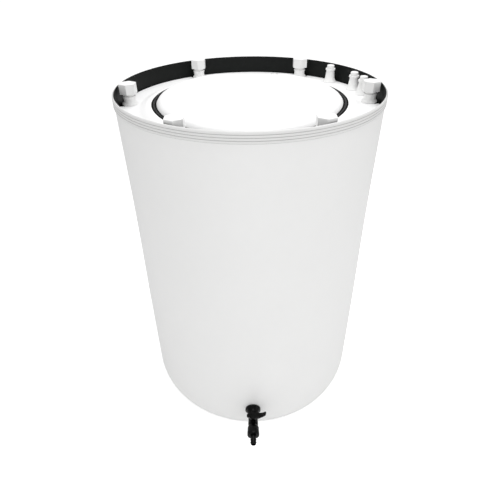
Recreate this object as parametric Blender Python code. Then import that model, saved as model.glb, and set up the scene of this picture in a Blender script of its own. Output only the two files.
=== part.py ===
# Collapsible round liquid tank: a sheet bag on six poles, with a zipped lid, three
# stoppered spouts and an in-line tap. Metres, +Z up, tap towards -Y.
# The origin is the centre of the base, on the floor.
import math

import bmesh
import bpy
from mathutils import Matrix, Vector

# ---------------------------------------------------------------- driving dimensions
TANK_R = 0.2985          # outside radius of the wall sheet
HEIGHT = 0.905           # floor to the top of the rim
SHEET = 0.0012           # thickness of every welded sheet
CORNER_R = 0.100         # outside radius of the rounded lower corner
BASE_LAP = 0.012         # how far the wall sheet laps in over the base panel
GAP = 0.0003             # gap between pieces that touch
SEGMENTS = 60            # facets round the tank; the pole angles fall on their corners

RIM_BAND_H = 0.022       # height of the ribbed band
RIM_BAND_T = 0.0012      # thickness of the band between its ribs
RIB_COUNT = 4            # ribs round the band
RIB_DEPTH = 0.0006       # how far a rib stands out

LID_DEPTH = 0.041        # rim to the lid's border, where the poles pass it
LID_RISE = 0.010         # how far the zip and the flap stand above that border
LID_LIP = 0.018          # height of the lid's down-turned welded lip
LID_BORDER = 0.0810      # wall to the middle of the zip

ZIP_GAP = 0.0006         # between the two halves of the zip
ZIP_TAPE_W = 0.0090      # width of each half of the tape
ZIP_SHOWN = 0.0057       # tape that shows on each side of the zip's middle
CHAIN_W = 0.0014         # width of each row of coil
CHAIN_H = 0.0014         # height of each row of coil
ZIP_END = 15.0           # degrees from the back to each end of the zip
ZIP_PARK = 20.0          # degrees from the back to the parked slider
FOLD_END = 30.0          # degrees from the back to each end of the flap's fold

POLE_COUNT = 6
POLE_R = 0.0125
POLE_WALL = 0.0018
FIRST_POLE = 30.0        # degrees from the front to the first pole
FOOT_WALL = 0.0022
FOOT_H = 0.030
FOOT_FLOOR = 0.003
NOTCH_EXTRA = 0.0037     # lid notch radius beyond the pole's
COLLAR_LEDGE = 0.0013    # how far a collar laps over the edge of its notch
COLLAR_H = 0.019

CAP_CORNER_R = 0.0204    # hexagon's centre to its corner
CAP_H = 0.022
CAP_ABOVE_RIM = 0.0054
CAP_ROOF = 0.004
CAP_WALL_GAP = 0.003     # cap corner to the inside of the wall

PORT_ANGLES = (103.0, 112.2, 130.5)
PORT_WALL_GAP = 0.0027   # spout flange to the inside of the wall
PORT_FLANGE_R = 0.0170
PORT_BODY_R = 0.0118
PORT_BORE_R = 0.0085
PLUG_HEAD_R = 0.0092
PLUG_HEAD_H = 0.0076
PLUG_DEPTH = 0.012       # how far the stopper reaches into the spout

TAP_HEIGHT = 0.131       # floor to the tap's axis
SPIGOT_R = 0.0130        # threaded spigot through the wall
FLANGE_R = 0.0205
BARREL_R = 0.0125
TAP_BORE_R = 0.0060
BALL_R = 0.0090
VALVE_OUT = 0.036        # wall to the valve's axis
BARREL_END = 0.0480      # wall to the end of the barrel
WASHER_T = 0.0020
STEM_R = 0.0040
BOSS_R = 0.0078
BOSS_TOP = 0.0185        # tap axis to the top of the stem boss
LEVER_T = 0.0075
LEVER_REACH = 0.034      # valve axis to the lever's tip
LEVER_RISE = 0.010
THREAD_R = 0.0105        # male thread under the coupling nut
NUT_R = 0.0155
NUT_FLUTES = 12
NUT_LENGTH = 0.0270
TAIL_BORE_R = 0.0045
TAIL_R = 0.0064
BARB_R = 0.0080
TAIL_END = 0.1025        # wall to the end of the hose tail

# ---------------------------------------------------------------- worked-out places
WALL_IN = TANK_R - SHEET
SHEET_STEP = SHEET + GAP                      # one sheet and the gap to the next
FACET = math.cos(math.pi / SEGMENTS)          # how far a facet's middle lies inside its corners
LID_EDGE = HEIGHT - LID_DEPTH
LID_TOP = LID_EDGE + LID_RISE
LID_R = WALL_IN - GAP
ZIP_R = LID_R - LID_BORDER
TAPE_TOP = LID_TOP - SHEET_STEP
CHAIN_BOTTOM = TAPE_TOP + GAP
CHAIN_TOP = CHAIN_BOTTOM + CHAIN_H
FOLD_Y = ZIP_R * math.cos(math.radians(FOLD_END))
POLE_RING = WALL_IN - CAP_WALL_GAP - CAP_CORNER_R
PORT_RING = WALL_IN - PORT_WALL_GAP - PORT_FLANGE_R
CAP_TOP = HEIGHT + CAP_ABOVE_RIM
CAP_BOTTOM = CAP_TOP - CAP_H
POLE_TOP = CAP_TOP - CAP_ROOF - GAP
TAIL_BACK = THREAD_R - GAP                    # radius of the collar inside the coupling nut


# ---------------------------------------------------------------- helpers
def around(radius, degrees, z=0.0):
    """A point on a circle round the tank; 0 degrees is the front, 90 is +X."""
    angle = math.radians(degrees)
    return Vector((radius * math.sin(angle), -radius * math.cos(angle), z))


def material(name, color, roughness, metallic=0.0):
    made = bpy.data.materials.new(name)
    made.use_nodes = True
    shader = made.node_tree.nodes["Principled BSDF"]
    shader.inputs["Base Color"].default_value = (*color, 1.0)
    shader.inputs["Roughness"].default_value = roughness
    shader.inputs["Metallic"].default_value = metallic
    return made


def add_object(name, bm, surface=None, smooth=30.0):
    bmesh.ops.recalc_face_normals(bm, faces=bm.faces)
    mesh = bpy.data.meshes.new(name)
    bm.to_mesh(mesh)
    bm.free()
    mesh.shade_smooth()
    mesh.set_sharp_from_angle(angle=math.radians(smooth))
    if surface:
        mesh.materials.append(surface)
    made = bpy.data.objects.new(name, mesh)
    bpy.context.scene.collection.objects.link(made)
    return made


def lathe(name, profile, surface=None, segments=20, closed=True):
    """Turn (radius, z) points round Z; an open profile starts and ends on the axis."""
    bm = bmesh.new()
    rings = []
    for radius, z in profile:
        if radius == 0.0:
            rings.append([bm.verts.new((0.0, 0.0, z))])
            continue
        turn = [2.0 * math.pi * step / segments for step in range(segments)]
        rings.append([bm.verts.new((radius * math.cos(a), radius * math.sin(a), z)) for a in turn])
    pairs = list(zip(rings, rings[1:]))
    if closed:
        pairs.append((rings[-1], rings[0]))
    for low, high in pairs:
        for step in range(segments):
            after = (step + 1) % segments
            corners = [low[step % len(low)], low[after % len(low)], high[after % len(high)],
                       high[step % len(high)]]
            face = list(dict.fromkeys(corners))
            if len(face) > 2:
                bm.faces.new(face)
    return add_object(name, bm, surface)


def loft(name, sections, surface=None, smooth=30.0):
    """Join rings of matching points by quads and close both ends."""
    bm = bmesh.new()
    rings = [[bm.verts.new(point) for point in section] for section in sections]
    for ring, after in zip(rings, rings[1:]):
        for index in range(len(ring)):
            other = (index + 1) % len(ring)
            bm.faces.new((ring[index], ring[other], after[other], after[index]))
    bm.faces.new(rings[0])
    bm.faces.new(rings[-1])
    return add_object(name, bm, surface, smooth)


def prism(name, outline, low, high, surface=None):
    """An upright block with the given (x, y) outline."""
    return loft(name, [[(x, y, z) for x, y in outline] for z in (low, high)], surface)


def circle(radius, sides, centre=(0.0, 0.0), first=0.0):
    turn = [first + 2.0 * math.pi * step / sides for step in range(sides)]
    return [(centre[0] + radius * math.cos(a), centre[1] + radius * math.sin(a)) for a in turn]


def combine(target, tool, operation):
    """Apply one Boolean to target and remove the tool."""
    step = target.modifiers.new("combine", "BOOLEAN")
    step.operation = operation
    step.solver = "EXACT"
    step.object = tool
    result = target.evaluated_get(bpy.context.evaluated_depsgraph_get())
    mesh = bpy.data.meshes.new_from_object(result)
    target.modifiers.clear()
    target.data = mesh
    mesh.set_sharp_from_angle(angle=math.radians(30.0))
    bpy.data.objects.remove(tool)
    return target


def cut(target, tool):
    return combine(target, tool, "DIFFERENCE")


def merge(target, tool):
    return combine(target, tool, "UNION")


def gather(name, pieces):
    """Join loose cutters, which don't touch one another, into one."""
    bm = bmesh.new()
    for piece in pieces:
        piece.data.transform(piece.matrix_basis)
        bm.from_mesh(piece.data)
        bpy.data.objects.remove(piece)
    return add_object(name, bm)


def rod(name, radius, low, high, turn=None, sides=20):
    """A plain cylinder along Z, turned by a matrix if one is given."""
    made = lathe(name, [(0.0, low), (radius, low), (radius, high), (0.0, high)], segments=sides, closed=False)
    if turn:
        made.data.transform(turn)
    return made


def arc_ring(name, inner_r, outer_r, low, high, end, surface, straight_back=None):
    """A C-shaped flat strip that stops `end` degrees from the back, or at a line across it."""
    sections = []
    steps = SEGMENTS
    for step in range(steps + 1):
        pair = []
        for radius in (inner_r, outer_r):
            stop = 180.0 - end
            if straight_back is not None:
                stop = 180.0 - math.degrees(math.acos(straight_back / radius))
            pair.append(around(radius, -stop + 2.0 * stop * step / steps))
        inner, outer = pair
        sections.append([(inner.x, inner.y, low), (outer.x, outer.y, low),
                         (outer.x, outer.y, high), (inner.x, inner.y, high)])
    return loft(name, sections, surface)


# ---------------------------------------------------------------- tank
def corner_arc(radius, centre_r, centre_z, steps=7):
    """Points of the rounded corner from its side down to its foot."""
    turn = [0.5 * math.pi * step / steps for step in range(steps + 1)]
    return [(centre_r + radius * math.cos(a), centre_z - radius * math.sin(a)) for a in turn]


def corner_centre():
    return TANK_R - CORNER_R, SHEET_STEP + CORNER_R


def make_tank(white):
    """The straight wall, the rounded corner welded under it and the flat base panel."""
    centre_r, centre_z = corner_centre()
    top = HEIGHT - GAP
    seam = centre_z + GAP
    wall = lathe("tank_wall", [(TANK_R, top), (TANK_R, seam), (WALL_IN, seam), (WALL_IN, top)],
                 white, SEGMENTS)
    lap_r = centre_r - BASE_LAP
    lap = [(lap_r, SHEET_STEP), (lap_r, SHEET_STEP + SHEET)]
    outer = corner_arc(CORNER_R, centre_r, centre_z)
    inner = corner_arc(CORNER_R - SHEET, centre_r, centre_z)[::-1]
    lathe("tank_corner", outer + lap + inner, white, SEGMENTS)
    hole = rod("tap_hole", SPIGOT_R + GAP, 0.8 * TANK_R, 1.2 * TANK_R, Matrix.Rotation(math.pi / 2, 4, "X"))
    hole.data.transform(Matrix.Translation((0.0, 0.0, TAP_HEIGHT)))
    cut(wall, hole)
    base_r = centre_r + BASE_LAP
    lathe("base_panel", [(0.0, 0.0), (base_r, 0.0), (base_r, SHEET), (0.0, SHEET)], white, SEGMENTS, False)


def make_rim_band(white):
    inside = TANK_R + GAP
    outside = inside + RIM_BAND_T
    pitch = RIM_BAND_H / RIB_COUNT
    profile = [(inside, HEIGHT - RIM_BAND_H), (inside, HEIGHT)]
    for rib in range(RIB_COUNT):
        top = HEIGHT - rib * pitch
        profile += [(outside, top - 0.1 * pitch), (outside + RIB_DEPTH, top - 0.5 * pitch),
                    (outside, top - 0.9 * pitch)]
    lathe("rim_band", profile, white, SEGMENTS)


def lid_mouth(radius, low, high):
    """The zip's slot and the flap's opening, straight along the fold and with two tails."""
    inner_r = ZIP_R - ZIP_SHOWN
    fold = 180.0 - math.degrees(math.acos(FOLD_Y / inner_r))
    tail = 180.0 - ZIP_END
    steps = SEGMENTS
    outline = [around(radius, -tail + 2.0 * tail * step / steps) for step in range(steps + 1)]
    tail_steps = 4
    for side in (1.0, -1.0):
        stops = [tail + (fold - tail) * step / tail_steps for step in range(tail_steps + 1)]
        if side < 0.0:
            stops.reverse()
        outline += [around(inner_r, side * stop) for stop in stops]
    return prism("lid_mouth", [(point.x, point.y) for point in outline], low, high)


def make_lid(white, black):
    """The fixed lid, its flap, and the two halves of the zip between them."""
    bottom = LID_TOP - SHEET
    lip = LID_EDGE - LID_LIP
    notch_r = POLE_R + NOTCH_EXTRA
    rise_in = ZIP_R + 0.5 * ZIP_GAP + ZIP_TAPE_W + GAP
    rise_out = POLE_RING - notch_r - COLLAR_LEDGE - GAP
    profile = [(0.0, LID_TOP), (rise_in, LID_TOP), (rise_out, LID_EDGE), (LID_R, LID_EDGE), (LID_R, lip),
               (LID_R - SHEET, lip), (LID_R - SHEET, LID_EDGE - SHEET), (rise_out, LID_EDGE - SHEET),
               (rise_in, bottom), (0.0, bottom)]
    lid = lathe("lid_panel", profile, white, SEGMENTS, False)
    low, high = lip - 0.01, LID_TOP + 0.01
    cutters = [lid_mouth(ZIP_R + ZIP_SHOWN, low, high)]
    for pole in range(POLE_COUNT):
        sides = 16
        half = [math.pi * step / sides for step in range(sides + 1)]
        notch = [(notch_r * math.cos(a), POLE_RING - notch_r * math.sin(a)) for a in half]
        notch += [(-notch_r, 1.1 * LID_R), (notch_r, 1.1 * LID_R)]
        slot = prism("notch", notch, low, high)
        slot.data.transform(Matrix.Rotation(math.radians(180.0 + pole_angle(pole)), 4, "Z"))
        cutters.append(slot)
    for angle in PORT_ANGLES:
        hole = rod("port_hole", PORT_BORE_R, low, high)
        hole.data.transform(Matrix.Translation(around(PORT_RING, angle)))
        cutters.append(hole)
    cut(lid, gather("lid_cutters", cutters))

    fold_y = FOLD_Y - GAP
    flap_r = ZIP_R - ZIP_SHOWN
    stop = 180.0 - math.degrees(math.acos(fold_y / flap_r))
    steps = SEGMENTS - 4
    edge = [around(flap_r, -stop + 2.0 * stop * step / steps) for step in range(steps + 1)]
    prism("lid_flap", [(point.x, point.y) for point in edge], bottom, LID_TOP, white)

    middle = 0.5 * ZIP_GAP
    tape_low = TAPE_TOP - SHEET
    arc_ring("zip_tape_outer", ZIP_R + middle, ZIP_R + middle + ZIP_TAPE_W, tape_low, TAPE_TOP, ZIP_END,
             black)
    arc_ring("zip_tape_inner", ZIP_R - middle - ZIP_TAPE_W, ZIP_R - middle, tape_low, TAPE_TOP, ZIP_END,
             black, fold_y)
    arc_ring("zip_chain_outer", ZIP_R + middle, ZIP_R + middle + CHAIN_W, CHAIN_BOTTOM, CHAIN_TOP, ZIP_END,
             black)
    arc_ring("zip_chain_inner", ZIP_R - middle - CHAIN_W, ZIP_R - middle, CHAIN_BOTTOM, CHAIN_TOP, ZIP_END,
             black, fold_y)


def make_slider(metal):
    """The slider bridges both rows of coil; its pull's end bar swings under the arch on top."""
    length, width, plate = 0.0140, 0.0090, 0.0014
    low = CHAIN_TOP + GAP
    top = low + plate
    nose = 0.6
    outline = [(-length / 2, -width / 2), (0.1 * length, -width / 2), (length / 2, -nose * width / 2),
               (length / 2, nose * width / 2), (0.1 * length, width / 2), (-length / 2, width / 2)]
    slider = prism("zip_slider", outline, low, top, metal)

    bar = 0.0012                                 # thickness of the pull and its end bar
    swing = bar / 2 * math.sqrt(2.0) + GAP
    pivot_z = top + swing
    arch_in, arch_t, arch_w = 0.0026, 0.0010, 0.0020
    arch_low = pivot_z + swing
    arch_out = arch_in + arch_t
    arch = [(-arch_out, top - plate / 2), (-arch_in, top - plate / 2), (-arch_in, arch_low),
            (arch_in, arch_low), (arch_in, top - plate / 2), (arch_out, top - plate / 2),
            (arch_out, arch_low + arch_t), (-arch_out, arch_low + arch_t)]
    bridge = prism("arch", arch, -arch_w / 2, arch_w / 2)
    bridge.data.transform(Matrix.Rotation(math.pi / 2, 4, "X"))
    merge(slider, bridge)

    pull_w, pull_reach = 0.0060, 0.0180
    window_w = arch_w + 4.0 * GAP
    window_end = math.hypot(arch_out, arch_low + arch_t - pivot_z) + GAP
    pull = prism("zip_pull", [(-bar / 2, -pull_w / 2), (pull_reach, -pull_w / 2), (pull_reach, pull_w / 2),
                              (-bar / 2, pull_w / 2)], pivot_z - bar / 2, pivot_z + bar / 2, metal)
    cut(pull, prism("window", [(bar / 2, -window_w / 2), (window_end, -window_w / 2),
                               (window_end, window_w / 2), (bar / 2, window_w / 2)],
                    pivot_z - bar, pivot_z + bar))
    for piece in (slider, pull):
        piece.location = around(ZIP_R, 180.0 - ZIP_PARK)
        piece.rotation_euler = (0.0, 0.0, math.radians(180.0 - ZIP_PARK))


# ---------------------------------------------------------------- poles
def pole_angle(number):
    return FIRST_POLE + number * 360.0 / POLE_COUNT


def foot_bottom():
    """Height at which a foot of this radius first meets the inside of the rounded corner."""
    centre_r, centre_z = corner_centre()
    reach = POLE_RING + POLE_R + GAP + FOOT_WALL - centre_r * FACET
    inner = (CORNER_R - SHEET) * FACET
    return centre_z - math.sqrt(inner * inner - reach * reach) + GAP


def make_pole(number, plastic, rubber, white):
    seat = foot_bottom() + FOOT_FLOOR
    inside = POLE_R - POLE_WALL
    pole = lathe("pole_%d" % number, [(POLE_R, seat + GAP), (POLE_R, POLE_TOP), (inside, POLE_TOP),
                                      (inside, seat + GAP)], plastic, 16)
    fit = POLE_R + GAP
    foot_r = fit + FOOT_WALL
    foot_low = foot_bottom()
    foot = lathe("pole_foot_%d" % number, [(0.0, foot_low), (foot_r - 0.001, foot_low),
                                           (foot_r, foot_low + 0.001), (foot_r, seat + FOOT_H),
                                           (fit, seat + FOOT_H), (fit, seat), (0.0, seat)],
                 rubber, 16, False)
    base = LID_EDGE + GAP
    ledge = POLE_R + NOTCH_EXTRA + COLLAR_LEDGE
    collar = lathe("pole_collar_%d" % number, [(fit, base), (ledge, base), (ledge, base + 0.0025),
                                               (fit + 0.0016, base + 0.0095), (fit + 0.0012, base + COLLAR_H),
                                               (fit, base + COLLAR_H)], white, 16)
    cap = prism("hex_cap_%d" % number, circle(CAP_CORNER_R, 6, first=math.radians(30.0)), CAP_BOTTOM,
                CAP_TOP, white)
    chamfer(cap, 0.0012, CAP_TOP)
    cut(cap, rod("socket", fit, CAP_BOTTOM - 0.01, CAP_TOP - CAP_ROOF, sides=16))
    spot = around(POLE_RING, pole_angle(number - 1))
    for piece in (pole, foot, collar, cap):
        piece.location = spot


def chamfer(piece, width, height):
    """Bevel the edges that run round a prism's face at one height."""
    bm = bmesh.new()
    bm.from_mesh(piece.data)
    edges = [edge for edge in bm.edges if all(abs(vert.co.z - height) < 1e-6 for vert in edge.verts)]
    bmesh.ops.bevel(bm, geom=edges, offset=width, segments=1, affect="EDGES")
    bm.to_mesh(piece.data)
    bm.free()


# ---------------------------------------------------------------- spouts
def make_port(number, angle, white):
    base = LID_EDGE + GAP
    mouth = HEIGHT - PLUG_HEAD_H
    spout = lathe("port_spout_%d" % number, [
        (PORT_BORE_R, base), (PORT_FLANGE_R, base), (PORT_FLANGE_R, base + 0.0015),
        (PORT_BODY_R, base + 0.0120), (PORT_BODY_R - 0.0006, mouth - 0.004),
        (PORT_BODY_R + 0.0002, mouth - 0.0035), (PORT_BODY_R + 0.0002, mouth), (PORT_BORE_R, mouth)], white)
    stem_r = PORT_BORE_R - GAP
    plug = lathe("port_plug_%d" % number, [
        (0.0, mouth - PLUG_DEPTH), (stem_r - 0.001, mouth - PLUG_DEPTH), (stem_r, mouth - PLUG_DEPTH + 0.002),
        (stem_r, mouth + GAP), (PLUG_HEAD_R, mouth + GAP), (PLUG_HEAD_R, HEIGHT - 0.001),
        (PLUG_HEAD_R - 0.001, HEIGHT), (0.0, HEIGHT)], white, 24, False)
    for piece in (spout, plug):
        piece.location = around(PORT_RING, angle)


# ---------------------------------------------------------------- tap
# Tap pieces are turned about local +Z, which points out of the wall; local +Y is up.
def ring(name, inner_r, outer_r, low, high, surface):
    return lathe(name, [(inner_r, low), (outer_r, low), (outer_r, high), (inner_r, high)], surface)


def wall_sag(radius):
    """How far the faceted wall falls away, at this radius, from a plane on its front corner."""
    facet = 2.0 * math.pi / SEGMENTS
    slope = (1.0 - math.cos(facet)) / math.sin(facet)
    return radius * slope


def make_tap(black, rubber, white):
    washer_r = FLANGE_R
    hole_r = SPIGOT_R + GAP
    face = GAP + WASHER_T + GAP
    pieces = [ring("tap_outer_washer", hole_r, washer_r, GAP, GAP + WASHER_T, rubber)]

    inner_face = -SHEET - wall_sag(washer_r) - GAP
    pieces.append(ring("tap_inner_washer", hole_r, washer_r, inner_face - WASHER_T, inner_face, rubber))
    nut_high = inner_face - WASHER_T - GAP
    nut_low = nut_high - 0.008
    lock_nut = prism("tap_lock_nut", circle(washer_r, 6), nut_low, nut_high, black)
    cut(lock_nut, rod("bore", hole_r, nut_low - 0.01, nut_high + 0.01, sides=24))
    pieces.append(lock_nut)
    spigot_end = nut_low - 0.006

    seat_r = BALL_R + 0.0008
    seat_depth = 0.0030
    seat_reach = 0.0065
    touch = math.sqrt((BALL_R + GAP) ** 2 - seat_reach ** 2)
    chamber = VALVE_OUT - touch - seat_depth - GAP
    body = lathe("tap_body", [
        (TAP_BORE_R, spigot_end), (SPIGOT_R - 0.001, spigot_end), (SPIGOT_R, spigot_end + 0.001),
        (SPIGOT_R, face), (FLANGE_R, face), (FLANGE_R, face + 0.0028), (BARREL_R + 0.0015, face + 0.0125),
        (BARREL_R, face + 0.0140), (BARREL_R, BARREL_END), (seat_r, BARREL_END), (seat_r, chamber),
        (TAP_BORE_R, chamber)], black)
    up = Matrix.Translation((0.0, 0.0, VALVE_OUT)) @ Matrix.Rotation(-math.pi / 2, 4, "X")
    merge(body, rod("boss", BOSS_R, seat_r + 0.0008, BOSS_TOP, up))
    cut(body, rod("stem_bore", STEM_R + GAP, 0.5 * seat_r, BOSS_TOP + 0.01, up, 16))
    pieces.append(body)

    for name, side in (("tap_seat_inner", -1.0), ("tap_seat_outer", 1.0)):
        near = VALVE_OUT + side * touch
        far = near + side * seat_depth
        rim = VALVE_OUT + side * (touch - 0.0022)
        pieces.append(lathe(name, [(seat_reach, near), (seat_r - GAP, rim), (seat_r - GAP, far),
                                   (seat_reach, far)], white))

    steps = 10
    swing = [math.pi * step / steps for step in range(steps + 1)]
    meridian = [(BALL_R * math.sin(a) if 0 < index < steps else 0.0, -BALL_R * math.cos(a))
                for index, a in enumerate(swing)]
    ball = lathe("tap_ball", meridian, white, 20, False)
    cut(ball, rod("way", TAP_BORE_R, -2.0 * BALL_R, 2.0 * BALL_R, Matrix.Rotation(math.pi / 2, 4, "Y")))
    ball.data.transform(Matrix.Translation((0.0, 0.0, VALVE_OUT)))
    pieces.append(ball)

    lever_low = BOSS_TOP + GAP
    stem_top = lever_low + 0.7 * LEVER_T
    stem = rod("tap_stem", STEM_R, BALL_R + GAP, stem_top, up, 16)
    stem.data.materials.append(black)
    pieces.append(stem)
    pieces.append(make_lever(black, lever_low, stem_top, up))

    neck_low = VALVE_OUT + touch + seat_depth + GAP
    shoulder = BARREL_END + GAP
    thread_end = shoulder + 0.0157
    neck = lathe("tap_neck", [
        (TAP_BORE_R, neck_low), (seat_r - GAP, neck_low), (seat_r - GAP, shoulder),
        (BARREL_R - 0.0012, shoulder), (BARREL_R - 0.0012, shoulder + 0.0040),
        (THREAD_R, shoulder + 0.0040), (THREAD_R, thread_end), (TAP_BORE_R, thread_end)], black)
    pieces.append(neck)
    pieces += make_hose_end(black, rubber, shoulder + 0.0040 + GAP, thread_end)
    pieces.append(make_strainer(black, spigot_end - GAP))
    for piece in pieces:
        piece.parent = tap_axis()


def tap_axis():
    """The empty that the tap's pieces hang on: at the wall, its Z pointing out."""
    found = bpy.data.objects.get("tap_axis")
    if found:
        return found
    made = bpy.data.objects.new("tap_axis", None)
    made.location = (0.0, -TANK_R, TAP_HEIGHT)
    made.rotation_euler = (math.pi / 2, 0.0, 0.0)
    bpy.context.scene.collection.objects.link(made)
    return made


def make_lever(black, low, stem_top, up):
    """A teardrop handle: a short lug, a round hub and a long arm that rises to its tip."""
    hub_r, lug_r, lug_reach = 0.0115, 0.0042, 0.0165
    tip_r, tip_pad = 0.0040, 0.0035
    lug = [(-lug_reach, 0.6 * lug_r), (-lug_reach + 0.002, lug_r)]
    hub = [(-hub_r * math.cos(a), hub_r * math.sin(a))
           for a in [math.radians(25.0 + 13.0 * step) for step in range(9)]]
    arm_start = hub[-1]
    arm_steps = 5
    arm = []
    for step in range(1, arm_steps + 1):
        share = step / arm_steps
        arm.append((arm_start[0] + (LEVER_REACH - tip_r - arm_start[0]) * share,
                    arm_start[1] + (tip_r - arm_start[1]) * share ** 0.8))
    tip = [(LEVER_REACH, 0.6 * tip_r)]
    sections = []
    for x, half in lug + hub + arm + tip:
        share = max(0.0, (x - hub_r) / (LEVER_REACH - hub_r))
        bottom = low + LEVER_RISE * share ** 1.5
        top = bottom + LEVER_T - 0.0025 * min(1.0, 3.0 * share) + tip_pad * max(0.0, share - 0.7) / 0.3
        sections.append([(x, -half, bottom), (x, half, bottom), (x, half, top), (x, -half, top)])
    lever = loft("tap_lever", sections, black, 40.0)
    cut(lever, rod("stem_socket", STEM_R + GAP, low - 0.01, stem_top + GAP, sides=16))
    lever.data.transform(up)
    return lever


def make_hose_end(black, rubber, nut_low, thread_end):
    """The washer, the barbed tail and the fluted nut that clamps them on the neck."""
    washer_low = thread_end + GAP
    collar_low = washer_low + 0.0015 + GAP
    collar_high = collar_low + 0.0060
    nut_high = nut_low + NUT_LENGTH
    washer = ring("hose_washer", TAP_BORE_R + GAP, TAIL_BACK, washer_low, washer_low + 0.0015, rubber)
    barbs = []
    barb_count = 3
    first = nut_high + 0.002
    pitch = (TAIL_END - first) / barb_count
    for barb in range(barb_count):
        start = first + barb * pitch
        barbs += [(TAIL_R, start), (BARB_R, start + 0.0012), (TAIL_R, start + pitch - 0.0012)]
    tail = lathe("hose_tail", [(TAIL_BORE_R, collar_low), (TAIL_BACK, collar_low), (TAIL_BACK, collar_high),
                               (TAIL_R, collar_high)] + barbs + [(TAIL_R, TAIL_END), (TAIL_BORE_R, TAIL_END)],
                 black)
    nut = lathe("coupling_nut", [
        (THREAD_R + GAP, nut_low), (NUT_R - 0.0022, nut_low), (NUT_R - 0.0006, nut_low + 0.004),
        (NUT_R, nut_high - 0.008), (NUT_R, nut_high - 0.002), (NUT_R - 0.002, nut_high),
        (TAIL_R + GAP, nut_high),
        (TAIL_R + GAP, collar_high + GAP), (THREAD_R + GAP, collar_high + GAP)], black, 2 * NUT_FLUTES)
    flutes = []
    flute_r = 0.0016
    for flute in range(NUT_FLUTES):
        tool = rod("flute", flute_r, nut_low + 0.003, nut_high - 0.005, sides=8)
        turn = Matrix.Rotation(2.0 * math.pi * flute / NUT_FLUTES, 4, "Z")
        tool.data.transform(turn @ Matrix.Translation((NUT_R + 0.0006, 0.0, 0.0)))
        flutes.append(tool)
    cut(nut, gather("flutes", flutes))
    return [washer, tail, nut]


def make_strainer(black, high):
    """A slotted cup on the inner end of the spigot."""
    depth, wall = 0.022, 0.0016
    low = high - depth
    outer = SPIGOT_R
    cup = lathe("tap_strainer", [(0.0, low), (outer - 0.002, low), (outer, low + 0.002), (outer, high),
                                 (outer - wall, high), (outer - wall, low + wall), (0.0, low + wall)],
                black, 24, False)
    slots = []
    slot_count = 6
    for slot in range(slot_count):
        tool = prism("slot", [(outer - 2.5 * wall, -0.0012), (outer + wall, -0.0012),
                              (outer + wall, 0.0012), (outer - 2.5 * wall, 0.0012)],
                     low + 0.005, high - 0.004)
        tool.data.transform(Matrix.Rotation(2.0 * math.pi * (slot + 0.5) / slot_count, 4, "Z"))
        slots.append(tool)
    cut(cup, gather("slots", slots))
    return cup


def main():
    for old in list(bpy.data.objects):
        bpy.data.objects.remove(old)
    white_sheet = material("white_sheet", (0.86, 0.86, 0.85), 0.40)
    white_plastic = material("white_plastic", (0.88, 0.88, 0.87), 0.35)
    black_plastic = material("black_plastic", (0.015, 0.015, 0.016), 0.30)
    black_tape = material("black_tape", (0.02, 0.02, 0.02), 0.80)
    black_rubber = material("black_rubber", (0.03, 0.03, 0.03), 0.70)
    dark_metal = material("dark_metal", (0.05, 0.05, 0.05), 0.35, 1.0)
    make_tank(white_sheet)
    make_rim_band(white_sheet)
    make_lid(white_sheet, black_tape)
    make_slider(dark_metal)
    for number in range(1, POLE_COUNT + 1):
        make_pole(number, white_plastic, black_rubber, white_plastic)
    for number, angle in enumerate(PORT_ANGLES, start=1):
        make_port(number, angle, white_plastic)
    make_tap(black_plastic, black_rubber, white_plastic)


main()
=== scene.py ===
# %% [markdown]
# # A collapsible round liquid tank
# The tank is a bag of laminated sheet, white outside and black inside. Six poles keep it
# upright, a zipped lid closes it, and a black in-line tap drains it. The solid model gives
# every place and every joint. This script gives the looks: it draws finer pieces over the
# solid ones, in the same frame, and builds their materials from nodes.

# %% Load the frame
import math

import bpy
from mathutils import Matrix, Vector


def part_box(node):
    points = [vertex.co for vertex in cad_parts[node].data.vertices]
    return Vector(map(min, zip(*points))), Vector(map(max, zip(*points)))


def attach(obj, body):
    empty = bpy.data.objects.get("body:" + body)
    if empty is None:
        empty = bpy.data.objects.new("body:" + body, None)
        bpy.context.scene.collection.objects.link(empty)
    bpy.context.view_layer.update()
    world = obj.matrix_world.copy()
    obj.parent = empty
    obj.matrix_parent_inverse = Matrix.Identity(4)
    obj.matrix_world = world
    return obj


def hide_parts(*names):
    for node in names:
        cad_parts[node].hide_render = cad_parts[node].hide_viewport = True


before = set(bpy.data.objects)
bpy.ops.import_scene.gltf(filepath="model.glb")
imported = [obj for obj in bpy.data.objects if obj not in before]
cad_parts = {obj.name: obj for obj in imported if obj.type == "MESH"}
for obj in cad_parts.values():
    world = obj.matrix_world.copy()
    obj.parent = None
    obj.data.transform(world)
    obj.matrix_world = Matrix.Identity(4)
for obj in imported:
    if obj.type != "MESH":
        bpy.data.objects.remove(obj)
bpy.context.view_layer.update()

# %% [markdown]
# ## Sizes from the frame
# Nothing here is measured twice. The solid pieces already stand where they belong, so the
# tank's radius, its lid and its tap are read from their boxes, and each new piece is drawn
# from those values.

# %% Read the places of the solid pieces
SHEET = 0.0012                                        # thickness of the laminated sheet
wall_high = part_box("tank_wall")[1]
band_low, band_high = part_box("rim_band")
corner_low, corner_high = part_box("tank_corner")
base_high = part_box("base_panel")[1]
lid_low, lid_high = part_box("lid_panel")
flap_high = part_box("lid_flap")[1]
chain_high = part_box("zip_chain_outer")[1]

TANK_R = wall_high[0]
RIM_Z = band_high[2]
SEAM_Z = corner_high[2]
CORNER_R = SEAM_Z - corner_low[2]
BASE_R = base_high[0]
LID_R = lid_high[0]
LID_TOP = lid_high[2]
FLAP_R = flap_high[0]
FOLD_Y = flap_high[1]
ZIP_R = chain_high[0] - 0.0017
ZIP_SHOWN = ZIP_R - FLAP_R
print("tank radius %.4f, rim at %.4f, lid at %.4f, zip radius %.4f" % (TANK_R, RIM_Z, LID_TOP, ZIP_R))


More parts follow.
